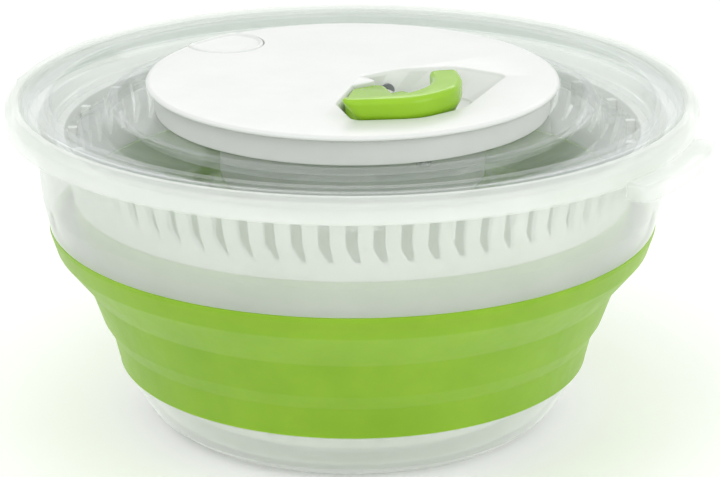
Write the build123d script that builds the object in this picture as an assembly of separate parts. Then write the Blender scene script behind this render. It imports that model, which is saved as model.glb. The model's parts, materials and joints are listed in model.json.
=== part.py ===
"""Folding pull-cord salad spinner, in millimetres.

+Z is up. The origin is on the table, under the centre of the bowl.
Each function returns one piece, and the table at the end names the nodes.
"""
import os
from math import cos, hypot, pi, radians, sin

from build123d import *

# ---- driving dimensions -------------------------------------------------

# bowl
FOOT_Z = 0.8                 # underside of the dish, above the table
BOWL_FLOOR_Z = 3.6           # top of the dish's floor
BASE_TOP_R = 93.0            # where the dish meets the silicone
BASE_TOP_Z = 22.8
WALL_TOP_R = 119.4           # where the silicone meets the collar
WALL_TOP_Z = 81.0
SKIN = 2.0                   # usual wall thickness
TONGUE_H = 4.5               # hard tongue inside the silicone's edge
SEAL_R_IN = 60.0             # anti-slip ring
SEAL_R_OUT = 67.0
FLANGE_R = 135.0             # outside of the rolled flange
FLANGE_LOW_Z = 121.0
FLANGE_TOP_Z = 130.4
MOUTH_R = 122.4              # mouth of the collar
EAR_R = 144.0                # how far the ears reach
EAR_ANGLES = (-30.0, 150.0)
EAR_HALF_ANGLE = 13.5
EAR_LOW_Z = 116.4
EAR_TOP_Z = 122.6

# pivot between bowl and basket
PIN_R = 2.5
PIN_TOP_Z = 19.0
RUN_GAP = 0.05               # radial running clearance

# basket
BASKET_FLOOR_Z = 10.0
BASKET_BASE_R = 87.0
BASKET_BASE_Z = 25.5
BASKET_WALL_R = 109.6
BASKET_WALL_Z = 91.0
BASKET_TOP_R = 114.6
BASKET_TOP_Z = 116.9
SLOT_COUNT = 72
SLOT_W = 4.4
SLOT_LOW_Z = 98.0
SLOT_HIGH_Z = 113.9
RIB_COUNT = 24               # drive ribs inside the collar
RIB_W = 3.0
RIB_R = 107.6

# lid
LID_R = 128.4
LID_TOP_Z = 130.2
LID_REST_Z = 122.1
PLUG_R = 119.8
TROUGH_Z = 119.6
PLATEAU_R = 96.4
PLATEAU_Z = 128.2
DECK_Z = 123.6
DECK_HOLE_R = 53.0
STEP_R = 61.5                # inside this the deck is a step lower
STEP_H = 2.4
SCREW_AT_R = 69.0            # screws between lid and housing
GUSSET_COUNT = 6

# mechanism housing and cover
BAND_R = 77.0
BAND_TOP_Z = 133.7
CUP_R = 52.0
CUP_FLOOR_Z = 98.0           # top of the cup's floor
COVER_R = 80.4
COVER_TOP_Z = 136.0
COVER_T = 2.2
LIP_R_IN = 73.1              # lip under the cover, inside the band
LIP_R_OUT = 74.85
RECESS_Z = 124.9             # floor of the handle's recess
RECESS_SKIN = 1.5

# drive
BUSH_R = 8.0
HUB_R = 22.0
HUB_LOW_Z = 88.4             # lower end of the hub's stem
RATCHET_TEETH = 12
PLATE_R = 109.0
PLATE_RIM_Z = 114.2
PLATE_MID_Z = 93.0
PLATE_FLAT_R = 56.0
PLATE_T = 2.0
PLATE_BOSS_Z = 86.6          # underside of the boss on the hub's stem

# reel and cord
AXLE_R = 4.0
REEL_FLANGE_R = 26.0
REEL_CORE_R = 8.8
REEL_LOW_Z = 104.6
REEL_HIGH_Z = 115.0
CORD_R = 0.9
TAKEOFF_R = 13.6             # centre line of the cord as it leaves the reel
TAKEOFF_Z = 110.0
EXIT_Z = 128.5               # centre line of the cord at the eyelet
PULL_ANGLE = -63.0           # heading of the cord at the eyelet
PULLEY_BACK = 34.0           # pulley's distance behind the take-off line
LEAD_LENGTH = 7.0            # cord between the eyelet and the handle's tail

# brake
BUTTON_R = 15.5
BUTTON_AT_R = 70.0
BUTTON_ANGLE = 137.6
STEM_R = 3.0
STEM_AT_R = 65.5
SPRING_R = 5.9
PAD_Z = 104.0                # underside of the brake pad at rest

# handle
HANDLE_TOP_Z = 143.4
HANDLE_LOW_Z = 127.4
TAIL_TOP_Z = 135.2           # top of the tail beside the beak
HANDLE_ROOM = 0.6            # gap between handle and recess

PULL = Vector(cos(radians(PULL_ANGLE)), sin(radians(PULL_ANGLE)), 0)
SIDE = Vector(-PULL.Y, PULL.X, 0)
EXIT = SIDE * TAKEOFF_R + PULL * 2.4 + Vector(0, 0, EXIT_Z)
ANCHOR = EXIT + PULL * LEAD_LENGTH
PULLEY_R = (EXIT_Z - TAKEOFF_Z) / 2
PULLEY = SIDE * TAKEOFF_R - PULL * PULLEY_BACK + Vector(0, 0, TAKEOFF_Z + PULLEY_R)
BUTTON_X = BUTTON_AT_R * cos(radians(BUTTON_ANGLE))
BUTTON_Y = BUTTON_AT_R * sin(radians(BUTTON_ANGLE))
STEM_X = STEM_AT_R * cos(radians(BUTTON_ANGLE))
STEM_Y = STEM_AT_R * sin(radians(BUTTON_ANGLE))


# ---- helpers --------------------------------------------------------------

def turned(points, rounding=0.0):
    """Solid of revolution of a closed (radius, height) outline; rounding is one radius or a list."""
    corners = [Vector(r, 0, z) for r, z in points]
    if rounding:
        outline = FilletPolyline(*corners, radius=rounding, close=True)
    else:
        outline = Polyline(*corners, close=True)
    return revolve(make_face(outline.edges()), Axis.Z)


def tube(r_in, r_out, low, high):
    """Upright ring."""
    return turned([(r_in, low), (r_out, low), (r_out, high), (r_in, high)])


def rod(radius, low, high, x=0.0, y=0.0):
    """Upright cylinder."""
    return Pos(x, y, (low + high) / 2) * Cylinder(radius, high - low)


def block(x, y, z):
    """Box between two corners, each given as a (low, high) pair per axis."""
    centre = Pos((x[0] + x[1]) / 2, (y[0] + y[1]) / 2, (z[0] + z[1]) / 2)
    return centre * Box(x[1] - x[0], y[1] - y[0], z[1] - z[0])


def around(count, piece, start=0.0):
    """Copies of a piece, evenly turned about the centre."""
    return [Rot(0, 0, start + 360.0 * i / count) * piece for i in range(count)]


def at_angle(angle, piece):
    """A piece turned about the centre."""
    return Rot(0, 0, angle) * piece


def edge_loop(corners, z):
    """Flat face from a list of corners and curved runs, each run a list of points."""
    edges = []
    for i, here in enumerate(corners):
        there = corners[(i + 1) % len(corners)]
        start = Vector(here[-1][0], here[-1][1], z)
        end = Vector(there[0][0], there[0][1], z)
        if len(here) > 1:
            edges.append(Spline(*[Vector(x, y, z) for x, y in here]))
        edges.append(Line(start, end))
    return make_face([edge for line in edges for edge in line.edges()])


def between(low_face, high_face):
    """Straight-sided solid between two outlines with the same corners."""
    return loft([low_face, high_face], ruled=True)


# ---- bowl -------------------------------------------------------------------

BOWL_STEPS = [
    (BASE_TOP_R, BASE_TOP_Z), (96.4, 36.0), (100.2, 42.3), (105.2, 56.8),
    (117.2, 71.8), (WALL_TOP_R, WALL_TOP_Z),
]


def bowl_base():
    floor = FOOT_Z
    tongue = BASE_TOP_Z + TONGUE_H
    points = [
        (0, floor), (SEAL_R_IN, floor), (SEAL_R_IN, 2.4), (SEAL_R_OUT, 2.4), (SEAL_R_OUT, floor),
        (76.6, floor), (82.4, 5.4), (BASE_TOP_R, BASE_TOP_Z), (91.9, BASE_TOP_Z), (91.9, tongue),
        (90.7, tongue), (90.7, BASE_TOP_Z), (80.6, 7.6), (75.6, BOWL_FLOOR_Z + 0.4), (70, BOWL_FLOOR_Z + 0.4),
        (58, BOWL_FLOOR_Z), (8.5, BOWL_FLOOR_Z), (6.5, 8.2), (PIN_R, 8.2), (PIN_R, BOWL_FLOOR_Z),
        (0, BOWL_FLOOR_Z),
    ]
    rounding = [0, 0, 0, 0, 0, 3.0, 3.0, 0, 0, 0.4, 0.4, 0, 2.0, 2.0, 0, 0, 1.0, 0.6, 0, 0, 0]
    return turned(points, rounding)


def anti_slip_ring():
    low, high = SEAL_R_IN + 0.02, SEAL_R_OUT - 0.02
    points = [(low, 2.38), (low, 0.6), (low + 1.0, 0), (high - 1.0, 0), (high, 0.6), (high, 2.38)]
    return turned(points)


def pivot_pin():
    points = [(0, BOWL_FLOOR_Z), (PIN_R, BOWL_FLOOR_Z), (PIN_R, PIN_TOP_Z), (0, PIN_TOP_Z)]
    return turned(points, [0, 0, 1.2, 0])


def silicone(outer, low_tongue, high_tongue, thickness, rounding):
    """Folding wall whose two edges are moulded round hard tongues, given as (inner r, outer r) pairs."""
    bottom = outer[0][1]
    top = outer[-1][1]
    low_lip = bottom + TONGUE_H + 1.2
    high_lip = top - TONGUE_H - 1.2
    body = outer[1:-1]
    inner = [(r - thickness, z) for r, z in reversed(body)]
    points = [
        outer[0], *body, outer[-1],
        (high_tongue[1], top), (high_tongue[1], top - TONGUE_H), (high_tongue[0], top - TONGUE_H),
        (high_tongue[0], top), (high_tongue[0] - 1.1, top), (high_tongue[0] - 1.3, high_lip), *inner,
        (low_tongue[0] - 0.7, low_lip), (low_tongue[0] - 1.1, bottom), (low_tongue[0], bottom),
        (low_tongue[0], bottom + TONGUE_H), (low_tongue[1], bottom + TONGUE_H), (low_tongue[1], bottom),
    ]
    radii = [0] + [rounding] * len(body) + [0] * 7 + [rounding] * len(body) + [0] * 6
    return turned(points, radii)


def bowl_wall():
    low = (90.7 - RUN_GAP, 91.9 + RUN_GAP)
    high = (117.2 - RUN_GAP, 118.3 + RUN_GAP)
    return silicone(BOWL_STEPS, low, high, SKIN + 0.2, 2.4)


def sector(r_in, r_out, low, high, half_angle):
    """Part of an upright ring, centred on +X."""
    reach = 1.2 * r_out
    x, y = reach * cos(radians(half_angle)), reach * sin(radians(half_angle))
    wedge = Polyline(Vector(0, 0, low), Vector(x, -y, low), Vector(x, y, low), close=True)
    return tube(r_in, r_out, low, high) & extrude(make_face(wedge.edges()), amount=high - low, dir=(0, 0, 1))


def outer_corners(solid, radius):
    """Upright edges of a sector that are further out than a radius."""
    upright = solid.edges().filter_by(Axis.Z)
    return [edge for edge in upright if hypot(edge.center().X, edge.center().Y) > radius]


def ear(angle):
    """Grip tab that follows the flange, with a turned-down lip and a hollow underside."""
    plate = sector(FLANGE_R - 1.6, EAR_R, EAR_LOW_Z, EAR_TOP_Z, EAR_HALF_ANGLE)
    plate = fillet(outer_corners(plate, EAR_R - 1), 7.0)
    top = plate.edges().filter_by(Plane.XY).group_by(Axis.Z)[-1]
    plate = fillet([edge for edge in top if hypot(edge.center().X, edge.center().Y) > FLANGE_R], 1.6)
    pocket = sector(FLANGE_R - 4, EAR_R - 1.8, EAR_LOW_Z - 1, EAR_TOP_Z - 1.8, EAR_HALF_ANGLE - 0.8)
    pocket = fillet(outer_corners(pocket, EAR_R - 3), 5.2)
    return at_angle(angle, plate - pocket)


def bowl_collar():
    top = WALL_TOP_Z
    points = [
        (117.2, top - TONGUE_H), (118.3, top - TONGUE_H), (118.3, top), (WALL_TOP_R, top), (121.9, 92.8),
        (124.2, 118.0), (124.8, 120.0), (131.0, 120.2), (131.0, 128.0), (133.2, 128.0),
        (133.2, FLANGE_LOW_Z), (FLANGE_R, FLANGE_LOW_Z), (FLANGE_R, 127.6), (132.8, FLANGE_TOP_Z),
        (130.0, FLANGE_TOP_Z), (129.0, 128.6), (129.0, 122.0), (MOUTH_R, 122.0), (122.0, 118.0),
        (119.9, 92.8), (117.2, top + 1),
    ]
    rounding = [0, 0, 0, 0, 3.0, 2.0, 1.0, 0.8, 0.6, 0.6, 0.4, 0.5, 1.6, 1.4, 1.0, 0.8, 0.6, 0.8, 1.5, 3.0, 0]
    collar = turned(points, rounding)
    return collar + [ear(angle) for angle in EAR_ANGLES]


# ---- basket -----------------------------------------------------------------

BASKET_STEPS = [
    (BASKET_BASE_R, BASKET_BASE_Z), (89.6, 38.5), (93.4, 44.5), (97.8, 58.0),
    (106.6, 71.5), (BASKET_WALL_R, BASKET_WALL_Z),
]


def basket_base():
    """Slotted dish with a raised centre boss for the pivot cup."""
    low = BASKET_FLOOR_Z
    tongue = BASKET_BASE_Z + TONGUE_H
    points = [
        (4.5, low), (73.5, low), (78.0, 12.2), (BASKET_BASE_R, BASKET_BASE_Z), (86.0, BASKET_BASE_Z),
        (86.0, tongue), (84.9, tongue), (84.9, BASKET_BASE_Z), (76.6, 13.6), (73.0, low + SKIN),
        (11.0, low + SKIN), (7.6, 21.6), (4.5, 21.6),
    ]
    dish = turned(points, [0, 4.0, 4.0, 0, 0, 0.3, 0.3, 0, 3.0, 3.0, 2.0, 0.8, 0])
    cuts = []
    for first, last, count in ((18.0, 32.0, 12), (37.0, 52.0, 24), (56.0, 71.0, 36)):
        slot = block((first, last), (-1.3, 1.3), (low - 1, low + SKIN + 1))
        cuts += around(count, slot, start=180.0 / count)
    window = Pos(82.0, 0, 18.0) * Rot(0, 32, 0) * Box(8.0, 2.6, 7.0)
    cuts += around(48, window)
    return dish - cuts


def pivot_cup():
    """Bearing cup on the pivot pin, pressed into the basket's boss from below."""
    bore = PIN_R + RUN_GAP
    points = [
        (bore, 8.8), (6.6, 8.8), (6.6, BASKET_FLOOR_Z), (4.5, BASKET_FLOOR_Z), (4.5, 21.2), (0, 21.2),
        (0, PIN_TOP_Z + 0.1), (bore, PIN_TOP_Z + 0.1),
    ]
    return turned(points)


def basket_wall():
    low = (84.9 - RUN_GAP, 86.0 + RUN_GAP)
    high = (107.2 - RUN_GAP, 108.3 + RUN_GAP)
    return silicone(BASKET_STEPS, low, high, SKIN, 2.0)


def basket_collar():
    """Slotted collar with a rim bead and vertical drive ribs."""
    low = BASKET_WALL_Z
    points = [
        (107.2, low - TONGUE_H), (108.3, low - TONGUE_H), (108.3, low), (BASKET_WALL_R, low),
        (BASKET_TOP_R, 114.9), (116.2, 115.5), (116.2, BASKET_TOP_Z), (112.4, BASKET_TOP_Z), (107.4, low + 1),
    ]
    collar = turned(points, [0, 0, 0, 0, 0, 0.6, 0.7, 0.7, 0])
    fin = [
        (-SLOT_W / 2, SLOT_HIGH_Z), (SLOT_W / 2, SLOT_HIGH_Z), (SLOT_W / 2, SLOT_LOW_Z + 7.5),
        (SLOT_W / 2 + 1.2, SLOT_LOW_Z), (SLOT_W / 2 - 0.9, SLOT_LOW_Z), (-SLOT_W / 2, SLOT_LOW_Z + 6.0),
    ]
    corners = [Vector(0, y, z) for y, z in fin]
    outline = FilletPolyline(*corners, radius=[0.5, 0.5, 3.0, 0.4, 0.4, 3.0], close=True)
    cutter = Pos(102, 0, 0) * extrude(make_face(outline.edges()), amount=18, dir=(1, 0, 0))
    rib = block((RIB_R, 111.2), (-RIB_W / 2, RIB_W / 2), (106.5, 116.4))
    half = 180.0 / SLOT_COUNT
    slotted = collar - around(SLOT_COUNT, cutter)
    return slotted + around(RIB_COUNT, rib, start=half)


# ---- lid --------------------------------------------------------------------

def lid_shell():
    low = TROUGH_Z - SKIN
    points = [
        (126.4, LID_REST_Z), (LID_R, LID_REST_Z), (LID_R, LID_TOP_Z), (117.8, LID_TOP_Z), (117.2, TROUGH_Z),
        (98.4, TROUGH_Z), (PLATEAU_R, 127.0), (95.4, PLATEAU_Z), (92.6, PLATEAU_Z), (88.2, DECK_Z),
        (STEP_R + 0.8, DECK_Z), (STEP_R, DECK_Z - STEP_H), (DECK_HOLE_R, DECK_Z - STEP_H),
        (DECK_HOLE_R, DECK_Z - STEP_H - SKIN), (STEP_R + 2.0, DECK_Z - STEP_H - SKIN),
        (STEP_R + 3.0, DECK_Z - SKIN),
        (89.2, DECK_Z - SKIN), (93.6, 126.2), (94.4, 126.2),
        (96.6, low), (119.4, low), (PLUG_R, LID_TOP_Z - SKIN), (126.4, LID_TOP_Z - SKIN),
    ]
    above = [0.4, 0.6, 1.4, 1.4, 1.6, 1.6, 0.8, 1.0, 1.0, 1.6, 0, 0, 0]
    below = [0, 0, 0, 0.4, 0.4, 0.4, 1.4, 1.4, 0.6, 0.6]
    shell = turned(points, above + below)
    corners = [Vector(95.8, 0, 126.4), Vector(108.0, 0, TROUGH_Z - 0.4), Vector(96.4, 0, TROUGH_Z - 0.4)]
    gusset_line = Polyline(*corners, close=True)
    gusset = extrude(make_face(gusset_line.edges()), amount=0.9, both=True)
    holes = around(4, rod(1.6, DECK_Z - 8, DECK_Z + 1, x=SCREW_AT_R), start=22.5)
    stem = rod(STEM_R + RUN_GAP, DECK_Z - 8, DECK_Z + 1, STEM_X, STEM_Y)
    return shell + around(GUSSET_COUNT, gusset) - holes - stem


def mechanism_housing():
    """Band, flange and cup in one moulding, with a bush for the hub and bosses for the screws."""
    shelf = DECK_Z + 0.1
    floor = CUP_FLOOR_Z
    points = [
        (BUSH_R + RUN_GAP, floor - 4.5), (BUSH_R + 3.5, floor - 4.5), (BUSH_R + 3.5, floor - SKIN),
        (CUP_R, floor - SKIN), (CUP_R, shelf - STEP_H), (STEP_R - 0.3, shelf - STEP_H), (STEP_R + 0.5, shelf),
        (BAND_R, shelf), (BAND_R, BAND_TOP_Z), (BAND_R - SKIN, BAND_TOP_Z), (BAND_R - SKIN, shelf + 1.8),
        (STEP_R - 1.1, shelf + 1.8), (STEP_R - 1.9, shelf + 1.8 - STEP_H),
        (CUP_R - SKIN, shelf + 1.8 - STEP_H),
        (CUP_R - SKIN, floor), (BUSH_R + RUN_GAP, floor),
    ]
    rounding = [0, 0, 0, 2.5, 0, 0, 0, 0.6, 0, 0, 0, 0, 0, 0.6, 0, 0]
    shell = turned(points, rounding)
    bosses = []
    for angle in (27.0, 207.0):
        for offset in (-7.0, 7.0):
            bosses.append(at_angle(angle, rod(3.4, floor - 0.5, 118.0, x=44.0, y=offset)))
    lid_bosses = around(4, rod(3.6, shelf + 1, shelf + 6.5, x=SCREW_AT_R), start=22.5)
    guide = rod(STEM_R + 1.8, shelf + 1, shelf + 3.4, STEM_X, STEM_Y)
    solid = shell + bosses + lid_bosses + guide
    screw_holes = around(4, rod(1.2, shelf - 1, shelf + 5.5, x=SCREW_AT_R), start=22.5)
    stem = rod(STEM_R + RUN_GAP, shelf - 1, shelf + 5, STEM_X, STEM_Y)
    half = BUTTON_R + 1.7
    notch = block((BAND_R - 5.0, BAND_R + 2), (-half, half), (shelf + 2.8, BAND_TOP_Z + 1))
    return solid - screw_holes - stem - at_angle(BUTTON_ANGLE, notch)


def screw(head_r, head_h, shank_r, shank_h):
    """Pan-head screw, head down, shank up, origin where they meet."""
    head = Pos(0, 0, -head_h / 2) * Cylinder(head_r, head_h)
    head = fillet(head.edges().group_by(Axis.Z)[0], head_h * 0.4)
    slot = Pos(0, 0, -head_h) * (Box(head_r * 1.1, 0.7, 1.0) + Box(0.7, head_r * 1.1, 1.0))
    shank = Pos(0, 0, shank_h / 2) * Cylinder(shank_r, shank_h)
    return head - slot + shank


def housing_screws():
    one = Pos(SCREW_AT_R, 0, DECK_Z - SKIN) * screw(3.0, 1.8, 1.2, 6.8)
    return Compound(around(4, one, start=22.5))


def mechanism_bridge():
    """Bar over the reel, resting on four bosses, with the axle's seat in the middle."""
    bar = block((-48.0, 48.0), (-11.0, 11.0), (118.0, 120.4))
    bar = fillet(bar.edges().filter_by(Axis.Z), 4.0)
    seat = rod(7.0, 116.6, 118.2)
    holes = [rod(1.6, 117, 121, x=side * 44.0, y=offset) for side in (-1, 1) for offset in (-7.0, 7.0)]
    axle_hole = rod(AXLE_R - 1.0, 115, 121.4)
    return at_angle(27.0, bar + seat - holes - axle_hole)


def bridge_screws():
    down = Rot(180, 0, 0) * screw(2.9, 1.4, 1.55, 2.3)
    places = [(side * 44.0, offset) for side in (-1, 1) for offset in (-7.0, 7.0)]
    return at_angle(27.0, Compound([Pos(x, y, 120.4) * down for x, y in places]))


def reel_axle():
    """Stepped steel axle, fixed in the bridge, with its lower end in the hub's blind bore."""
    points = [
        (0, 100.9), (2.5, 100.9), (2.5, REEL_LOW_Z - 0.2), (AXLE_R, REEL_LOW_Z - 0.2), (AXLE_R, 116.6),
        (AXLE_R - 1.0, 116.6), (AXLE_R - 1.0, 120.2), (0, 120.2),
    ]
    groove = tube(2.0, 3.0, 104.0, 104.3)
    return turned(points) - groove


def axle_clip():
    ring = tube(2.02, 4.3, 104.02, 104.28)
    opening = block((0, 6), (-1.4, 1.4), (103.5, 105))
    return ring - opening


def thrust_washer():
    return tube(BUSH_R + 1.2, BUSH_R + 7.0, CUP_FLOOR_Z + 0.02, CUP_FLOOR_Z + 0.46)


def cord_reel():
    points = [
        (AXLE_R + RUN_GAP, REEL_LOW_Z), (REEL_FLANGE_R, REEL_LOW_Z), (REEL_FLANGE_R, REEL_LOW_Z + 1.2),
        (REEL_CORE_R, REEL_LOW_Z + 1.2), (REEL_CORE_R, REEL_HIGH_Z - 1.2), (REEL_FLANGE_R, REEL_HIGH_Z - 1.2),
        (REEL_FLANGE_R, REEL_HIGH_Z), (AXLE_R + RUN_GAP, REEL_HIGH_Z),
    ]
    reel = turned(points, [0, 0.5, 0.3, 0, 0, 0.3, 0.5, 0])
    windows = around(6, block((15.0, 22.0), (-2.5, 2.5), (REEL_HIGH_Z - 1.5, REEL_HIGH_Z + 1)), start=30)
    pegs = around(2, rod(1.4, 101.2, REEL_LOW_Z + 0.4, x=12.5))
    return reel - windows + pegs


def cord_winding():
    """Wound cord as a ribbed ring, two layers deep."""
    turns = 4
    pitch = (REEL_HIGH_Z - REEL_LOW_Z - 2.8) / turns
    low = REEL_LOW_Z + 1.4
    points = [(REEL_CORE_R + 0.02, low), (12.0, low)]
    for i in range(turns):
        points += [(12.4, low + pitch * (i + 0.3)), (12.4, low + pitch * (i + 0.7))]
        points += [(12.0, low + pitch * (i + 1))]
    points += [(REEL_CORE_R + 0.02, low + pitch * turns)]
    return turned(points)


def pawls():
    """Two pawls on the reel's pegs, swung clear of the ratchet."""
    arm = block((11.0, 14.0), (-2.4, 7.5), (101.4, 104.0)) + rod(2.6, 101.4, 104.0, x=12.5)
    tip = Pos(13.6, 7.6, 102.7) * Rot(0, 0, 40) * Box(3.2, 3.0, 2.6)
    pawl = arm + tip - rod(1.42, 101, 105, x=12.5)
    return Compound(around(2, pawl))


def return_spring():
    """Flat spiral spring between the reel and the bridge."""
    turns = 5
    first, last = 7.8, 22.0
    low, high = 115.5, 117.6
    per_turn = 12
    edge_out = []
    edge_in = []
    for i in range(turns * per_turn + 1):
        radius = first + (last - first) * i / (turns * per_turn)
        angle = 2 * pi * i / per_turn
        edge_out.append((radius * cos(angle), radius * sin(angle)))
        edge_in.append(((radius - 0.5) * cos(angle), (radius - 0.5) * sin(angle)))
    outer = Spline(*[Vector(x, y, low) for x, y in edge_out])
    inner = Spline(*[Vector(x, y, low) for x, y in edge_in])
    ends = [Line(outer @ 0, inner @ 0), Line(outer @ 1, inner @ 1)]
    face = make_face([edge for line in [outer, inner, *ends] for edge in line.edges()])
    return extrude(face, amount=high - low, dir=(0, 0, 1))


# ---- drive ------------------------------------------------------------------

def drive_hub():
    """Ratchet cup above the bush, with a flatted stem below it."""
    top = CUP_FLOOR_Z + 0.5
    points = [
        (0, HUB_LOW_Z), (6.5, HUB_LOW_Z), (6.5, CUP_FLOOR_Z - 4.6), (BUSH_R, CUP_FLOOR_Z - 4.6),
        (BUSH_R, top),
        (HUB_R, top), (HUB_R, 104.2), (HUB_R - 2.2, 104.2), (HUB_R - 2.2, top + 2.0),
        (2.55, top + 2.0), (2.55, CUP_FLOOR_Z - 1.0), (0, CUP_FLOOR_Z - 1.0),
    ]
    cup = turned(points, [0, 0.5, 0, 0, 0, 0.8, 0.4, 0.4, 0, 0, 0, 0])
    wedge = [(HUB_R - 2.0, -4.6), (HUB_R - 2.0, 0.0), (HUB_R - 4.0, 0.0)]
    tooth_line = Polyline(*[Vector(x, y, top + 1.5) for x, y in wedge], close=True)
    tooth = extrude(make_face(tooth_line.edges()), amount=3.6, dir=(0, 0, 1))
    flat = block((4.8, 9.0), (-8, 8), (HUB_LOW_Z - 1, CUP_FLOOR_Z - 4.7))
    pilot = rod(1.55, HUB_LOW_Z - 1, CUP_FLOOR_Z - 4)
    return cup + around(RATCHET_TEETH, tooth) - flat - pilot


def drive_plate():
    """Clear dished plate with a notched rim and a boss on the hub's stem."""
    mid = PLATE_MID_Z
    rim = PLATE_RIM_Z
    points = [
        (0, PLATE_BOSS_Z), (10.0, PLATE_BOSS_Z), (10.0, mid - PLATE_T), (PLATE_FLAT_R, mid - PLATE_T),
        (104.0, rim - PLATE_T), (PLATE_R, rim - PLATE_T), (PLATE_R, rim), (104.0, rim),
        (PLATE_FLAT_R, mid), (0, mid),
    ]
    plate = turned(points, [0, 0.6, 0.8, 6.0, 3.0, 0.4, 0.4, 3.0, 6.0, 0])
    stem = rod(6.52, HUB_LOW_Z, mid + 1) - block((4.82, 9.0), (-8, 8), (80, 100))
    hole = rod(1.7, PLATE_BOSS_Z - 1, mid + 1)
    notch = block((PLATE_R - 2.4, PLATE_R + 2), (-RIB_W / 2 - 0.9, RIB_W / 2 + 0.9), (rim - 6, rim + 2))
    return plate - stem - hole - around(RIB_COUNT, notch, start=180.0 / SLOT_COUNT)


def drive_screw():
    return Pos(0, 0, PLATE_BOSS_Z) * screw(4.6, 1.8, 1.55, 6.0)


# ---- cord -------------------------------------------------------------------

def guide_pulley():
    """Grooved pulley on its own axis, then turned to stand in the cord's plane."""
    root = PULLEY_R - CORD_R - 0.25
    points = [
        (1.55, -2.2), (root + 2.0, -2.2), (root + 2.0, -1.7), (root, -0.7), (root, 0.7),
        (root + 2.0, 1.7), (root + 2.0, 2.2), (1.55, 2.2),
    ]
    wheel = turned(points)
    holes = around(4, rod(1.3, -3, 3, x=4.6))
    return pulley_place() * (wheel - holes)


def pulley_place():
    """Where the pulley's axis, local +Z, lies along the side direction."""
    return Location(Plane(origin=PULLEY, x_dir=PULL, z_dir=SIDE))


def pulley_pin():
    pin = Cylinder(1.5, 9.4)
    return pulley_place() * pin


def pulley_bracket():
    """Fork that stands on the housing's floor, with a cheek on each side of the pulley."""
    height = PULLEY.Z - CUP_FLOOR_Z
    cheek_line = [(-4.0, -height), (4.0, -height), (4.0, 2.0), (-4.0, 2.0)]
    outline = FilletPolyline(*cheek_line, radius=[0, 0, 3.0, 3.0], close=True)
    cheek = extrude(make_face(outline.edges()), amount=1.6)
    cheeks = [Pos(0, 0, 2.9) * cheek, Pos(0, 0, -4.5) * cheek]
    foot = Pos(0, -height + 0.8, 0) * Box(8.0, 1.6, 9.0)
    upright = Location(Plane(origin=PULLEY, x_dir=PULL, z_dir=-SIDE))
    bore = Cylinder(1.5, 12)
    return upright * (cheeks[0] + cheeks[1] + foot - bore)


def cord_run():
    """Cord from the reel, round the pulley and up to the eyelet, as one tube."""
    start = SIDE * TAKEOFF_R + Vector(0, 0, TAKEOFF_Z)
    low = start - PULL * PULLEY_BACK
    high = low + Vector(0, 0, 2 * PULLEY_R)
    back = PULLEY - PULL * PULLEY_R
    lines = [Line(start, low), ThreePointArc(low, back, high), Line(high, EXIT)]
    route = Wire([edge for line in lines for edge in line.edges()])
    section = Plane(origin=start, z_dir=-PULL) * Circle(CORD_R)
    return sweep(section, path=route)


def cord_eyelet():
    """Ring through the recess's wall."""
    ring = Pos(0, 0, -1.0) * (Cylinder(2.5, 3.2) - Cylinder(CORD_R + 0.15, 6.0))
    rim = Pos(0, 0, 0.95) * (Cylinder(3.1, 0.7) - Cylinder(CORD_R + 0.15, 2.0))
    rim = fillet(rim.edges().group_by(Axis.Z)[-1], 0.2)
    return Location(Plane(origin=EXIT, z_dir=PULL)) * (ring + rim)


def pull_cord():
    """Short lead from the cord's run to the handle's tail."""
    middle = Plane(origin=EXIT + PULL * (LEAD_LENGTH / 2), z_dir=PULL)
    return Location(middle) * Cylinder(CORD_R, LEAD_LENGTH)


def cord_ferrule():
    """Crimped sleeve on the cord's end, seated in the handle's tail."""
    sleeve = fillet(Cylinder(1.7, 5.0).edges(), 0.3)
    return Location(Plane(origin=ANCHOR + PULL * 2.5, z_dir=PULL)) * sleeve


# ---- cover, handle and brake ---------------------------------------------------

def recess_face(spread, z, deep):
    """Outline of the handle's recess: at the cover's top, or at its floor when deep."""
    s = spread
    if deep:
        left, corner = (-4.6 - s, -38.0), (5.2 - s * 0.7, -52.6 - s * 0.7)
        near = [(24.0, -49.6 - s), (35.0 + s * 0.7, -39.5 - s * 0.7)]
        far = [(47.0 + s, -4.0 + s * 0.3), (36.5 + s * 0.4, 9.6 + s), (19.2, 7.6 + s)]
        wall = (4.6 - s * 0.7, -2.6 + s)
    else:
        left, corner = (-6.0 - s, -38.0), (0.4 - s * 0.7, -59.8 - s * 0.7)
        near = [(25.0, -57.0 - s), (42.0 + s * 0.7, -43.4 - s * 0.7)]
        far = [(60.0 + s, 0.6 + s * 0.3), (40.5 + s * 0.4, 12.6 + s), (18.6, 9.0 + s)]
        wall = (3.2 - s * 0.7, -2.0 + s)
    return edge_loop([[left], [corner, *near], far, [wall]], z)


def button_plan(extra, low, high):
    """Round button outline, cut where the cover's edge passes through it."""
    return rod(BUTTON_R + extra, low, high, BUTTON_X, BUTTON_Y)


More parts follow.
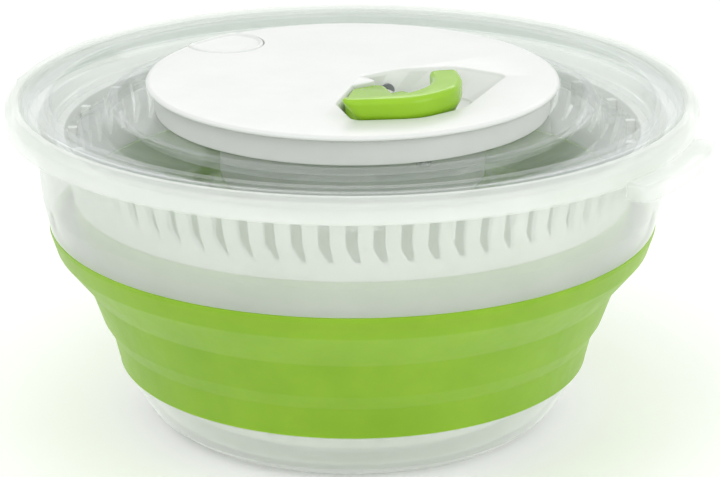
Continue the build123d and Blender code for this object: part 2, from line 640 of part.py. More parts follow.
def top_cover():
    top = COVER_TOP_Z
    low = top - COVER_T
    points = [
        (0, low), (LIP_R_IN, low), (LIP_R_IN, low - 3.4), (LIP_R_OUT, low - 3.4), (LIP_R_OUT, low),
        (COVER_R - 0.4, low), (COVER_R, low + 0.4), (COVER_R, top - 0.6), (COVER_R - 1.0, top - 0.1),
        (76.0, top), (0, top),
    ]
    disc = turned(points)
    pocket_low = recess_face(RECESS_SKIN, RECESS_Z - RECESS_SKIN, True)
    pocket = between(pocket_low, recess_face(RECESS_SKIN, top - 0.6, False))
    hollow = between(recess_face(0, RECESS_Z, True), recess_face(0, top + 0.01, False))
    collar = button_plan(1.9, low - 1.4, low + 0.5) - button_plan(0.35, low - 3, low + 2)
    collar = collar & rod(LIP_R_IN - 0.1, low - 5, top)
    opening = button_plan(0.35, low - 6, top + 2)
    skirt_room = at_angle(BUTTON_ANGLE, block((58, 82), (-17.4, 17.4), (low - 5, low)))
    eyelet_bore = Location(Plane(origin=EXIT, z_dir=PULL)) * Cylinder(2.5, 9.0)
    beak_corners = [(-2.4, 6.4), (9.4, -7.2), (-1.0, -14.0), (-4.0, 0.0)]
    beak_line = Polyline(*[Vector(x, y, top) for x, y in beak_corners], close=True)
    beak = extrude(make_face(beak_line.edges()), amount=-COVER_T)
    beak = fillet(beak.edges().filter_by(Axis.Z).sort_by(Axis.X)[-1], 1.0)
    body = disc + pocket - hollow + beak
    return body - opening - skirt_room + collar - eyelet_bore


def brake_button():
    """Cap that ends flush with the cover's edge, with a skirt, a stem and a stop flange."""
    low = COVER_TOP_Z - 2.0
    cap = button_plan(0, low, COVER_TOP_Z) & rod(COVER_R, low - 5, COVER_TOP_Z + 1)
    cap = fillet(cap.edges().filter_by(Plane.XY).group_by(Axis.Z)[-1], 0.7)
    skirt = button_plan(0, low - 3.6, low + 0.2) - button_plan(-1.4, low - 5, low + 0.1)
    skirt = skirt & rod(BAND_R - 0.2, low - 5, low + 1)
    wall = tube(BAND_R - 1.8, BAND_R - 0.2, low - 3.6, low + 0.2) & button_plan(0, low - 5, low + 1)
    stem = rod(STEM_R, PAD_Z + 2.0, low + 0.5, STEM_X, STEM_Y)
    web = button_plan(0, low - 0.4, low + 0.2) & rod(BAND_R - 0.2, low - 5, low + 1)
    return cap + skirt + wall + web + stem


def brake_spring():
    """Coil spring round the guide, under the cap."""
    low = DECK_Z + 2.0
    path = Helix(pitch=1.25, height=5.0, radius=SPRING_R)
    wire = Plane(origin=path @ 0, z_dir=path % 0) * Circle(0.4)
    coil = sweep(wire, path=path, is_frenet=True)
    return Pos(STEM_X, STEM_Y, low + 0.4) * coil


def brake_pad():
    pad = rod(6.0, PAD_Z, PAD_Z + 3.0, STEM_X, STEM_Y) - rod(STEM_R, PAD_Z + 2.0, PAD_Z + 4.0, STEM_X, STEM_Y)
    return fillet(pad.edges().group_by(Axis.Z)[0], 0.8)


HANDLE_LEVELS = {
    # height: left tip, outer edge, right end, inner edge
    HANDLE_LOW_Z: (
        (5.4, -50.0), [(6.8, -51.8), (23.6, -48.8), (33.4, -39.6)], [(38.6, -26.0), (38.0, -16.8)],
        [(30.6, -18.0), (31.4, -28.4), (26.4, -39.2), (17.6, -44.8), (7.0, -46.8)],
    ),
    COVER_TOP_Z + 0.4: (
        (0.4, -56.4), [(1.8, -58.8), (23.6, -56.0), (38.4, -43.0)], [(42.0, -28.0), (40.4, -15.8)],
        [(29.2, -18.0), (30.6, -28.2), (27.0, -40.2), (16.6, -49.2), (1.6, -51.8)],
    ),
    HANDLE_TOP_Z: (
        (-5.4, -57.8), [(-2.4, -60.6), (22.6, -56.6), (37.6, -43.6)], [(41.8, -28.0), (40.2, -15.6)],
        [(28.8, -18.0), (30.2, -28.0), (27.0, -39.6), (16.6, -49.6), (-4.4, -53.6)],
    ),
}


def handle_face(z):
    """Outline of the handle's bar at one of its three levels."""
    tip, outer, end, inner = HANDLE_LEVELS[z]
    return edge_loop([[tip], outer, [end[0]], [end[1]], inner], z)


def pull_handle():
    """Hooked bar with a tail arm that holds the cord's ferrule."""
    low, middle, high = [handle_face(z) for z in HANDLE_LEVELS]
    crown = between(middle, high)
    crown = fillet(crown.faces().sort_by(Axis.Z)[-1].edges(), 1.1)
    bar = between(low, middle)
    arm_length = 42.0
    place = Location(Plane(origin=ANCHOR + PULL * (arm_length / 2), x_dir=SIDE, z_dir=PULL))
    arm = place * Pos(0, 0.2, 0) * Box(10.0, 5.2, arm_length)
    arm_low = EXIT_Z - 2.8
    room = between(recess_face(-HANDLE_ROOM, RECESS_Z, True), recess_face(-HANDLE_ROOM, COVER_TOP_Z, False))
    lobe_plan = [
        (-0.4, -15.6), (9.4, -9.4), (12.6, -11.4), (15.4, -22.0), (21.0, -42.0), (2.0, -52.0), (-3.0, -32.0),
    ]
    lobe_corners = [Vector(x, y, arm_low) for x, y in lobe_plan]
    lobe_line = FilletPolyline(*lobe_corners, radius=[1.0, 1.5, 1.5, 6.0, 0, 0, 6.0], close=True)
    lobe = extrude(make_face(lobe_line.edges()), amount=TAIL_TOP_Z - arm_low, dir=(0, 0, 1))
    bore = Location(Plane(origin=ANCHOR + PULL * 2.5, z_dir=PULL)) * Cylinder(1.7, 5.0)
    return bar + crown + (arm & room) + (lobe & room) - bore


PIECES = {
    "bowl_base": bowl_base,
    "anti_slip_ring": anti_slip_ring,
    "pivot_pin": pivot_pin,
    "bowl_wall": bowl_wall,
    "bowl_collar": bowl_collar,
    "basket_base": basket_base,
    "pivot_cup": pivot_cup,
    "basket_wall": basket_wall,
    "basket_collar": basket_collar,
    "lid_shell": lid_shell,
    "mechanism_housing": mechanism_housing,
    "housing_screws": housing_screws,
    "mechanism_bridge": mechanism_bridge,
    "bridge_screws": bridge_screws,
    "reel_axle": reel_axle,
    "axle_clip": axle_clip,
    "thrust_washer": thrust_washer,
    "cord_reel": cord_reel,
    "cord_winding": cord_winding,
    "pawls": pawls,
    "return_spring": return_spring,
    "drive_hub": drive_hub,
    "drive_plate": drive_plate,
    "drive_screw": drive_screw,
    "guide_pulley": guide_pulley,
    "pulley_pin": pulley_pin,
    "pulley_bracket": pulley_bracket,
    "cord_run": cord_run,
    "pull_cord": pull_cord,
    "cord_eyelet": cord_eyelet,
    "cord_ferrule": cord_ferrule,
    "top_cover": top_cover,
    "pull_handle": pull_handle,
    "brake_button": brake_button,
    "brake_spring": brake_spring,
    "brake_pad": brake_pad,
}


def main():
    os.makedirs("parts", exist_ok=True)
    for name, make in PIECES.items():
        piece = make()
        export_step(piece, f"parts/{name}.step")
        print(f"{name}: {len(piece.solids())} solid(s), {piece.volume / 1000:.2f} cm3")


main()
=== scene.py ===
"""Looks of the folding salad spinner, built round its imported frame.

Lengths are in millimetres until a mesh is made, and in metres in Blender.
+Z is up, and the centre of the bowl stands on the origin.
"""

import json
from math import ceil, cos, degrees, hypot, pi, radians, sin, tan

import bmesh
import bpy
from mathutils import Matrix, Vector


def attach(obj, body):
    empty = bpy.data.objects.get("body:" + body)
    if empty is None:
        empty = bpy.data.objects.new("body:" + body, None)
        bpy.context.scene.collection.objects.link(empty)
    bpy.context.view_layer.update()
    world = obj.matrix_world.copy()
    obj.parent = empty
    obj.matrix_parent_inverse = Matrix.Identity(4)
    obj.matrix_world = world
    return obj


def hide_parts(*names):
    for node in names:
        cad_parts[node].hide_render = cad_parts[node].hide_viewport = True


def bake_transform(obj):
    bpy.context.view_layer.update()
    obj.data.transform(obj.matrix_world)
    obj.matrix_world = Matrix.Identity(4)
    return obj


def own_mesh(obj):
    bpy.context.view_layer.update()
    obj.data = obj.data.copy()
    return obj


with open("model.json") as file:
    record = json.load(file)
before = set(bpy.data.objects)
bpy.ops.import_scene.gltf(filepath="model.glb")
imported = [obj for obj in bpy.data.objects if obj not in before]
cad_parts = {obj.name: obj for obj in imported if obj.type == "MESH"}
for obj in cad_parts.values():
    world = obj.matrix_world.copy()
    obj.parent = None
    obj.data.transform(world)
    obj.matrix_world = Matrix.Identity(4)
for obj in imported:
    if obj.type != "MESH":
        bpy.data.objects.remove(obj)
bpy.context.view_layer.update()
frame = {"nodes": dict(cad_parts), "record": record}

MM = 0.001
SEGMENTS = 240               # round pieces
SHARP = radians(32)          # edges that bend more than this stay crisp

# sizes shared with the frame, in millimetres
WALL_LOW, WALL_HIGH = 22.8, 81.0
BASKET_LOW, BASKET_HIGH = 25.5, 91.0
TONGUE = 4.5
FLANGE_R = 135.0
EAR_R = 144.0
EAR_HALF_ANGLE = 13.5
EAR_LOW, EAR_TOP = 116.4, 122.6
EAR_ANGLES = (-30.0, 150.0)
SLOTS = 72
RIBS = 24
GUSSETS = 6
SCREWS = 4
SCREW_HOLE_AT = 69.0
DECK = 123.6
COVER_R = 80.4
COVER_TOP = 136.0
COVER_LOW = 133.8
RECESS_FLOOR = 124.9
BUTTON_R, BUTTON_AT, BUTTON_ANGLE = 15.5, 70.0, 137.6
STEM_R = 3.0
STEM_AT = 65.5
STEM_LOW = 106.0
COIL_LOW, COIL_HIGH = 126.0, 131.0
HANDLE_LOW, HANDLE_TOP = 127.4, 143.4
CORD_R = 0.9
LEAD = 7.0                   # cord between the cover's bore and the handle at rest
PULL = Vector((cos(radians(-63.0)), sin(radians(-63.0)), 0))
SIDE = Vector((-PULL.y, PULL.x, 0))
EXIT = SIDE * 13.6 + PULL * 2.4 + Vector((0, 0, 128.5))
BUTTON = Vector((cos(radians(BUTTON_ANGLE)), sin(radians(BUTTON_ANGLE)), 0)) * BUTTON_AT
STEM = BUTTON.normalized() * STEM_AT


# ---- outlines ---------------------------------------------------------------

def rounded(points, radii, turn=14.0):
    """Closed outline with each corner replaced by an arc; radius 0 keeps the corner."""
    result = []
    count = len(points)
    for i, corner in enumerate(points):
        here = Vector(corner)
        radius = radii[i] if hasattr(radii, "__len__") else radii
        back = Vector(points[i - 1]) - here
        ahead = Vector(points[(i + 1) % count]) - here
        spread = back.angle(ahead, pi) if back.length and ahead.length else pi
        bend = pi - spread
        if radius <= 0 or bend < radians(2):
            result.append(tuple(here))
            continue
        reach = min(radius * tan(bend / 2), 0.48 * back.length, 0.48 * ahead.length)
        radius = reach / tan(bend / 2)
        start = here + back.normalized() * reach
        end = here + ahead.normalized() * reach
        halfway = (back.normalized() + ahead.normalized()).normalized()
        centre = here + halfway * (radius / sin(spread / 2))
        steps = max(2, ceil(degrees(bend) / turn))
        first = start - centre
        last = end - centre
        total = first.angle_signed(last)
        for k in range(steps + 1):
            angle = -total * k / steps
            c, s = cos(angle), sin(angle)
            result.append((centre.x + first.x * c - first.y * s, centre.y + first.x * s + first.y * c))
    return result


def curve_through(points, steps=8):
    """Catmull-Rom run through the points, ends included."""
    ends = [tuple(2 * Vector(points[0]) - Vector(points[1]))]
    ends += [tuple(p) for p in points]
    ends += [tuple(2 * Vector(points[-1]) - Vector(points[-2]))]
    result = []
    for i in range(1, len(ends) - 2):
        a, b, c, d = [Vector(p) for p in ends[i - 1:i + 3]]
        for k in range(steps):
            t = k / steps
            square = (2 * a - 5 * b + 4 * c - d) * t ** 2
            cube = (3 * b - a - 3 * c + d) * t ** 3
            point = 0.5 * (2 * b + (c - a) * t + square + cube)
            result.append(tuple(point))
    return result + [tuple(points[-1])]


def inset(loop, distance):
    """Loop moved inwards along its own normals."""
    area = sum(a[0] * b[1] - b[0] * a[1] for a, b in zip(loop, loop[1:] + loop[:1]))
    side = 1 if area > 0 else -1
    result = []
    for i, point in enumerate(loop):
        along = Vector(loop[(i + 1) % len(loop)]) - Vector(loop[i - 1])
        along.normalize()
        result.append((point[0] - side * along.y * distance, point[1] + side * along.x * distance))
    return result


def evened(loop, count, softening=0):
    """Loop with evenly spaced points, its corners softened by averaging."""
    points = [Vector(p) for p in loop]
    lengths = [0.0]
    for a, b in zip(points, points[1:] + points[:1]):
        lengths.append(lengths[-1] + (b - a).length)
    result = []
    k = 0
    for i in range(count):
        target = lengths[-1] * i / count
        while lengths[k + 1] < target:
            k += 1
        share = (target - lengths[k]) / max(lengths[k + 1] - lengths[k], 1e-9)
        result.append(points[k].lerp(points[(k + 1) % len(points)], share))
    for _ in range(softening):
        result = [(result[i - 1] + 2 * p + result[(i + 1) % count]) / 4 for i, p in enumerate(result)]
    return [tuple(p) for p in result]


# ---- meshes -------------------------------------------------------------------

def add_mesh(name, points, faces):
    """Smooth mesh object from points in millimetres, with crisp edges where it bends sharply."""
    mesh = bpy.data.meshes.new(name)
    mesh.from_pydata([Vector(p) * MM for p in points], [], faces)
    work = bmesh.new()
    work.from_mesh(mesh)
    bmesh.ops.remove_doubles(work, verts=work.verts, dist=1e-7)
    bmesh.ops.recalc_face_normals(work, faces=work.faces)
    work.to_mesh(mesh)
    work.free()
    piece = bpy.data.objects.new(name, mesh)
    bpy.context.scene.collection.objects.link(piece)
    soften(piece)
    return piece


def soften(piece):
    mesh = piece.data
    mesh.polygons.foreach_set("use_smooth", [True] * len(mesh.polygons))
    mesh.set_sharp_from_angle(angle=SHARP)


def turned(name, outline, segments=SEGMENTS):
    """Solid of revolution of a closed (radius, height) outline."""
    points = []
    rows = []
    for r, z in outline:
        if r < 1e-6:
            rows.append([len(points)] * segments)
            points.append((0, 0, z))
            continue
        rows.append(list(range(len(points), len(points) + segments)))
        points += at_height(disc_outline(r, count=segments), z)
    faces = []
    for low, high in zip(rows, rows[1:] + rows[:1]):
        if low[0] == low[1] and high[0] == high[1]:
            continue
        for k in range(segments):
            following = (k + 1) % segments
            corners = [low[k], low[following], high[following], high[k]]
            faces.append(tuple(dict.fromkeys(corners)))
    return add_mesh(name, points, faces)


def stacked(name, rings, closed=False):
    """Skin over a stack of rings with equal counts; the ends are capped unless it closes on itself."""
    count = len(rings[0])
    points = [p for ring in rings for p in ring]
    faces = []
    pairs = len(rings) if closed else len(rings) - 1
    for i in range(pairs):
        low = i * count
        high = (i + 1) % len(rings) * count
        for k in range(count):
            following = (k + 1) % count
            faces.append((low + k, low + following, high + following, high + k))
    if not closed:
        faces.append(tuple(reversed(range(count))))
        faces.append(tuple(range((len(rings) - 1) * count, len(rings) * count)))
    return add_mesh(name, points, faces)


def at_height(loop, z):
    return [(x, y, z) for x, y in loop]


def placed(piece, matrix):
    """Moves a piece's mesh, so that its object stays at the origin."""
    piece.data.transform(matrix)
    return piece


def spun(piece, angle):
    return placed(piece, Matrix.Rotation(radians(angle), 4, "Z"))


def along_pull(piece, spot):
    """Turns a piece's +Z to the cord's way out of the cover, and moves it to the spot."""
    return placed(piece, Matrix.Translation(spot * MM) @ PULL.to_track_quat("Z", "Y").to_matrix().to_4x4())


def joined(name, pieces):
    """One object from several meshes, as they are."""
    work = bmesh.new()
    for piece in pieces:
        work.from_mesh(piece.data)
        bpy.data.objects.remove(piece)
    mesh = bpy.data.meshes.new(name)
    work.to_mesh(mesh)
    work.free()
    result = bpy.data.objects.new(name, mesh)
    bpy.context.scene.collection.objects.link(result)
    soften(result)
    return result


def combined(piece, tool, operation):
    """Exact boolean of two meshes, kept as the first one's mesh."""
    cut = piece.modifiers.new("cut", "BOOLEAN")
    cut.object = tool
    cut.operation = operation
    cut.solver = "EXACT"
    graph = bpy.context.evaluated_depsgraph_get()
    mesh = bpy.data.meshes.new_from_object(piece.evaluated_get(graph))
    piece.modifiers.clear()
    piece.data = mesh
    bpy.data.objects.remove(tool)
    soften(piece)
    return piece


def copies(name, make, count, start=0.0):
    """The same small piece evenly round the axis, as one object."""
    return joined(name, [spun(make(), start + 360.0 * i / count) for i in range(count)])


def bar(outline, low, high):
    """Prism of a closed outline along Z, as a cutting tool."""
    return stacked("bar", [at_height(outline, low), at_height(outline, high)])


def disc_outline(radius, x=0.0, y=0.0, count=SEGMENTS):
    angles = [2 * pi * k / count for k in range(count)]
    return [(x + radius * cos(a), y + radius * sin(a)) for a in angles]


def coil(name, radius, wire, low, high, turns, centre):
    """Helical wire with flat ends."""
    around, per_turn = 10, 36
    rings = []
    for i in range(int(turns * per_turn) + 1):
        angle = 2 * pi * i / per_turn
        z = low + (high - low) * i / (turns * per_turn)
        out = Vector((cos(angle), sin(angle), 0))
        spot = Vector((centre.x, centre.y, z)) + out * radius
        circle = [2 * pi * k / around for k in range(around)]
        rings.append([spot + out * (wire * cos(a)) + Vector((0, 0, wire * sin(a))) for a in circle])
    return stacked(name, rings)


def tube(name, route, radius):
    """Round tube along a list of points."""
    around = 12
    rings = []
    for i, point in enumerate(route):
        ahead = route[min(i + 1, len(route) - 1)] - route[max(i - 1, 0)]
        across = ahead.cross(Vector((0, 0, 1)))
        across = across.normalized() if across.length > 1e-6 else SIDE
        up = across.cross(ahead).normalized()
        circle = [2 * pi * k / around for k in range(around)]
        rings.append([point + (across * cos(a) + up * sin(a)) * radius for a in circle])
    return stacked(name, rings)


# ---- materials ------------------------------------------------------------------

def srgb(red, green, blue):
    """Linear colour, with its alpha, from 0-255 values."""
    return tuple(((c / 255 + 0.055) / 1.055) ** 2.4 for c in (red, green, blue)) + (1.0,)


class Finish:
    """A principled material with its own grain, mottling and roughness, all procedural."""

    MOTTLE_SCALE = 38.0
    WEAR_SCALE = 160.0

    def __init__(self, name, colour, second, roughness, **sockets):
        self.material = bpy.data.materials.new(name)
        self.material.use_nodes = True
        self.tree = self.material.node_tree
        self.shader = self.tree.nodes["Principled BSDF"]
        self.where = self.tree.nodes.new("ShaderNodeTexCoord").outputs["Object"]
        self.height = None
        for socket, value in sockets.items():
            self.shader.inputs[socket.replace("_", " ")].default_value = value
        self.mottle(colour, second)
        self.wear(roughness)

    def link(self, output, socket):
        self.tree.links.new(output, socket)

    def noise(self, scale, detail=3.0, stretch=None):
        node = self.tree.nodes.new("ShaderNodeTexNoise")
        node.inputs["Scale"].default_value = scale
        node.inputs["Detail"].default_value = detail
        node.inputs["Roughness"].default_value = 0.55
        place = self.where
        if stretch:
            mapping = self.tree.nodes.new("ShaderNodeMapping")
            mapping.inputs["Scale"].default_value = stretch
            self.link(place, mapping.inputs["Vector"])
            place = mapping.outputs["Vector"]
        self.link(place, node.inputs["Vector"])
        return node.outputs["Fac"]

    def spread(self, output, low, high):
        """Maps a texture's middle range to low..high."""
        node = self.tree.nodes.new("ShaderNodeMapRange")
        node.inputs["From Min"].default_value = 0.3
        node.inputs["From Max"].default_value = 0.7
        node.inputs["To Min"].default_value = low
        node.inputs["To Max"].default_value = high
        self.link(output, node.inputs["Value"])
        return node.outputs["Result"]

    def mottle(self, colour, second):
        """Slow drift between two close colours."""
        mix = self.tree.nodes.new("ShaderNodeMix")
        mix.data_type = "RGBA"
        mix.inputs["A"].default_value = colour
        mix.inputs["B"].default_value = second
        self.link(self.spread(self.noise(self.MOTTLE_SCALE), 0.0, 1.0), mix.inputs["Factor"])
        self.link(mix.outputs["Result"], self.shader.inputs["Base Color"])

    def wear(self, roughness):
        """Roughness between two values, with handling marks."""
        low, high = roughness
        marks = self.noise(self.WEAR_SCALE, 5.0)
        self.link(self.spread(marks, low, high), self.shader.inputs["Roughness"])

    def bump(self, output, depth, strength=0.6):
        """Adds relief; depth is in millimetres."""
        node = self.tree.nodes.new("ShaderNodeBump")
        node.inputs["Strength"].default_value = strength
        node.inputs["Distance"].default_value = depth * MM
        self.link(output, node.inputs["Height"])
        if self.height:
            self.link(self.height, node.inputs["Normal"])
        self.height = node.outputs["Normal"]
        self.link(self.height, self.shader.inputs["Normal"])
        return self

    def grain(self, scale, depth, strength=0.6):
        return self.bump(self.noise(scale, 2.0), depth, strength)

    def see_through(self, haze, tint):
        """Thin wall: mirrors or scatters more at a slant, and lets the rest pass straight through."""
        nodes = self.tree.nodes
        facing = nodes.new("ShaderNodeLayerWeight")
        facing.inputs["Blend"].default_value = 0.5
        slant = nodes.new("ShaderNodeMath")
        slant.operation = "POWER"
        slant.inputs[1].default_value = 5.0
        share = nodes.new("ShaderNodeMapRange")
        share.inputs["To Min"].default_value = haze
        clear = nodes.new("ShaderNodeBsdfTransparent")
        clear.inputs["Color"].default_value = (*tint, 1)
        mix = nodes.new("ShaderNodeMixShader")
        self.link(self.height, facing.inputs["Normal"])
        self.link(facing.outputs["Facing"], slant.inputs[0])
        self.link(slant.outputs["Value"], share.inputs["Value"])
        self.link(share.outputs["Result"], mix.inputs["Fac"])
        self.link(clear.outputs["BSDF"], mix.inputs[1])
        self.link(self.shader.outputs["BSDF"], mix.inputs[2])
        self.link(mix.outputs["Shader"], nodes["Material Output"].inputs["Surface"])
        return self

    def rings(self, pitch, depth, strength=0.4):
        """Fine circular tool marks round the axis, one every pitch millimetres."""
        node = self.tree.nodes.new("ShaderNodeTexWave")
        node.wave_type = "RINGS"
        node.rings_direction = "Z"
        node.inputs["Scale"].default_value = pi / (10 * pitch * MM)
        node.inputs["Distortion"].default_value = 0.3
        self.link(self.where, node.inputs["Vector"])
        return self.bump(node.outputs["Fac"], depth, strength)

    def braid(self, pitch, depth):
        """Two crossing families of ridges."""
        for lean in ((1, 0.6, 1), (1, 0.6, -1)):
            mapping = self.tree.nodes.new("ShaderNodeMapping")
            mapping.inputs["Rotation"].default_value = [radians(45) * v for v in lean]
            wave = self.tree.nodes.new("ShaderNodeTexWave")
            wave.inputs["Scale"].default_value = pi / (10 * pitch * MM)
            self.link(self.where, mapping.inputs["Vector"])
            self.link(mapping.outputs["Vector"], wave.inputs["Vector"])
            self.bump(wave.outputs["Fac"], depth, 0.8)
        return self


def make_finishes():
    finishes = {}

    def add(name, *args, **sockets):
        finish = Finish(name, *args, **sockets)
        finishes[name] = finish
        return finish

    # The frosted plastic's faint warm emission is painted light: a glow that brightens its shaded inner
    # walls, though the plastic is no lamp.
    add("frosted_plastic", srgb(240, 243, 240), srgb(232, 237, 232), (0.30, 0.42), IOR=1.45,
        Emission_Color=(1.0, 1.0, 0.95, 1), Emission_Strength=0.08,
        Specular_IOR_Level=0.4).grain(1400, 0.01, 0.4).grain(40, 0.1, 0.15)
    finishes["frosted_plastic"].see_through(0.33, (0.935, 0.945, 0.93))
    add("green_silicone", srgb(136, 178, 38), srgb(126, 169, 30), (0.42, 0.54), IOR=1.41,
        Sheen_Weight=0.15, Sheen_Roughness=0.5, Subsurface_Weight=0.5,
        Subsurface_Radius=(0.8, 1.0, 0.25), Subsurface_Scale=0.004,
        Specular_IOR_Level=0.3).grain(2600, 0.03, 0.5).grain(90, 0.25, 0.3)
    add("green_rubber", srgb(120, 165, 50), srgb(108, 152, 42), (0.6, 0.75)).grain(1500, 0.05)
    add("white_basket", srgb(240, 242, 236), srgb(231, 235, 226), (0.34, 0.46), IOR=1.5,
        Subsurface_Weight=0.3, Subsurface_Radius=(1, 1, 1),
        Subsurface_Scale=0.003).grain(1800, 0.03).rings(1.4, 0.02)
    add("clear_plastic", srgb(240, 242, 242), srgb(234, 237, 238), (0.03, 0.09), IOR=1.5,
        Metallic=0.35).grain(70, 0.10, 0.12).rings(2.2, 0.008, 0.25)
    finishes["clear_plastic"].see_through(0.03, (0.98, 0.985, 0.985))
    add("white_abs", srgb(226, 228, 225), srgb(221, 224, 220), (0.30, 0.40), IOR=1.5,
        Subsurface_Weight=0.1, Subsurface_Radius=(1, 1, 1),
        Subsurface_Scale=0.002).grain(2400, 0.006, 0.3).grain(45, 0.1, 0.1)
    add("green_gloss", srgb(152, 198, 44), srgb(143, 190, 36), (0.16, 0.26), IOR=1.5,
        Specular_IOR_Level=0.3, Coat_Weight=0.08, Coat_Roughness=0.08, Subsurface_Weight=0.15,
        Subsurface_Radius=(0.8, 1, 0.3), Subsurface_Scale=0.003).grain(900, 0.015, 0.3).grain(50, 0.25, 0.2)
    add("grey_plastic", srgb(120, 126, 130), srgb(108, 114, 119), (0.35, 0.5)).grain(1700, 0.04)
    add("acetal", srgb(236, 234, 224), srgb(226, 224, 212), (0.3, 0.42)).grain(1500, 0.03).rings(0.8, 0.02)
    add("steel", srgb(196, 198, 202), srgb(176, 179, 184), (0.2, 0.34), Metallic=1.0)
    finishes["steel"].bump(finishes["steel"].noise(900, 2.0, (1, 1, 14)), 0.02, 0.5)
    add("spring_steel", srgb(150, 152, 158), srgb(122, 124, 132), (0.28, 0.42), Metallic=1.0)
    finishes["spring_steel"].bump(finishes["spring_steel"].noise(1300, 2.0, (1, 1, 10)), 0.02, 0.5)
    add("cord", srgb(238, 238, 232), srgb(218, 219, 212), (0.7, 0.85), Sheen_Weight=0.3).braid(0.9, 0.12)
    add("black_rubber", srgb(34, 35, 36), srgb(26, 27, 28), (0.6, 0.78)).grain(1600, 0.05)
    return {name: finish.material for name, finish in finishes.items()}


FINISHES = make_finishes()


def finished(piece, slot, body, *nodes):
    """Gives a piece its finish, its body, and the frame nodes it stands for."""
    piece.data.materials.clear()
    piece.data.materials.append(FINISHES[slot])
    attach(piece, body)
    if nodes:
        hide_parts(*nodes)
    return piece


# ---- bowl -----------------------------------------------------------------------

def make_bowl_base():
    tongue = WALL_LOW + TONGUE
    points = [
        (0, 0.8), (60, 0.8), (60, 2.4), (67, 2.4), (67, 0.8), (76.6, 0.8), (82.4, 5.4), (93.0, WALL_LOW),
        (91.9, WALL_LOW), (91.9, tongue), (90.7, tongue), (90.7, WALL_LOW), (80.6, 7.6), (75.6, 4.0),
        (70, 4.0), (58, 3.6), (8.5, 3.6), (6.5, 8.2), (2.5, 8.2), (2.5, 3.6), (0, 3.6),
    ]
    radii = [0, 0.3, 0, 0, 0.3, 3, 3, 0.3, 0, 0.4, 0.4, 0, 2, 2, 1, 1, 1, 0.6, 0.3, 0, 0]
    base = turned("bowl_dish", rounded(points, radii))
    return finished(base, "frosted_plastic", "bowl_base", "bowl_base")


def silicone_wall(name, outer, low_tongue, high_tongue, thickness):
    """Stepped wall with a soft bead at each fold and lips that hold the hard tongues."""
    bottom, top = outer[0][1], outer[-1][1]
    body = outer[1:-1]
    inner = [(r - thickness, z) for r, z in reversed(body)]
    points = [
        (outer[0][0], bottom), (outer[0][0] + 0.5, bottom + 0.3), (outer[0][0] + 0.7, bottom + 1.6), *body,
        (outer[-1][0] + 0.1, top - 1.8), (outer[-1][0] + 0.1, top - 0.3), (outer[-1][0] - 0.3, top),
        (high_tongue[1], top), (high_tongue[1], top - TONGUE), (high_tongue[0], top - TONGUE),
        (high_tongue[0], top), (high_tongue[0] - 1.1, top), (high_tongue[0] - 1.3, top - TONGUE - 1.2),
        *inner,
        (low_tongue[0] - 0.7, bottom + TONGUE + 1.2), (low_tongue[0] - 1.1, bottom), (low_tongue[0], bottom),
        (low_tongue[0], bottom + TONGUE), (low_tongue[1], bottom + TONGUE), (low_tongue[1], bottom),
    ]
    soft = [2.4] * len(body)
    radii = [0, 0.3, 0.8] + soft + [0.5, 0.3, 0.2] + [0] * 4 + [0.3, 0.8] + soft + [0.8, 0.3] + [0] * 4
    return turned(name, rounded(points, radii, 9.0))


def make_bowl_wall():
    outer = [
        (93.0, WALL_LOW), (96.4, 36.0), (100.2, 42.3), (105.2, 56.8), (117.2, 71.8), (119.4, WALL_HIGH),
    ]
    wall = silicone_wall("bowl_silicone", outer, (90.65, 91.95), (117.15, 118.35), 2.2)
    finished(wall, "green_silicone", "bowl_base", "bowl_wall")
    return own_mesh(wall)


def make_ear(angle):
    """Grip tab that follows the flange, with a turned-down lip and an open underside."""
    def plan(near, far, half, softening):
        arc = [radians(half - 2 * half * k / 24) for k in range(25)]
        inner = [(near * cos(a), near * sin(a)) for a in arc]
        outer = [(far * cos(a), far * sin(a)) for a in reversed(arc)]
        return evened(inner + outer, 200, softening)
    outer = plan(FLANGE_R - 1.4, EAR_R, EAR_HALF_ANGLE, 25)
    hollow = plan(FLANGE_R + 0.4, EAR_R - 1.8, EAR_HALF_ANGLE - 0.9, 14)
    bend = 1.6
    rings = [at_height(hollow, EAR_TOP - 1.8), at_height(hollow, EAR_LOW + 0.4)]
    rings += [at_height(inset(hollow, -0.3), EAR_LOW), at_height(inset(outer, 0.3), EAR_LOW)]
    rings += [at_height(outer, EAR_LOW + 0.4)]
    for k in range(6):
        turn = radians(90 * k / 5)
        rings.append(at_height(inset(outer, bend * (1 - cos(turn))), EAR_TOP - bend + bend * sin(turn)))
    return spun(stacked("ear", rings), angle)


def make_bowl_collar():
    points = [
        (117.2, 76.5), (118.3, 76.5), (118.3, 81.0), (119.4, 81.0), (121.9, 92.8), (124.2, 118.0),
        (124.8, 120.0), (131.0, 120.2), (131.0, 128.0), (133.2, 128.0), (133.2, 121.0), (135.0, 121.0),
        (135.0, 127.6), (132.8, 130.4), (130.0, 130.4), (129.0, 128.6), (129.0, 122.0), (122.4, 122.0),
        (122.0, 118.0), (119.9, 92.8), (117.2, 82.0),
    ]
    radii = [0.3, 0.3, 0, 0.3, 3, 2, 1, 0.8, 0.6, 0.6, 0.4, 0.5, 2.4, 1.6, 1.0, 0.8, 0.6, 0.8, 1.5, 3, 1]
    collar = turned("bowl_rim", rounded(points, radii, 10.0))
    for angle in EAR_ANGLES:
        combined(collar, make_ear(angle), "UNION")
    return finished(collar, "frosted_plastic", "bowl_collar", "bowl_collar")


# ---- basket ---------------------------------------------------------------------

def make_basket_wall():
    outer = [
        (87.0, BASKET_LOW), (89.6, 38.5), (93.4, 44.5), (97.8, 58.0), (106.6, 71.5), (109.6, BASKET_HIGH),
    ]
    wall = silicone_wall("basket_silicone", outer, (84.85, 86.05), (107.15, 108.35), 2.0)
    finished(wall, "green_silicone", "basket_base", "basket_wall")
    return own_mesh(wall)


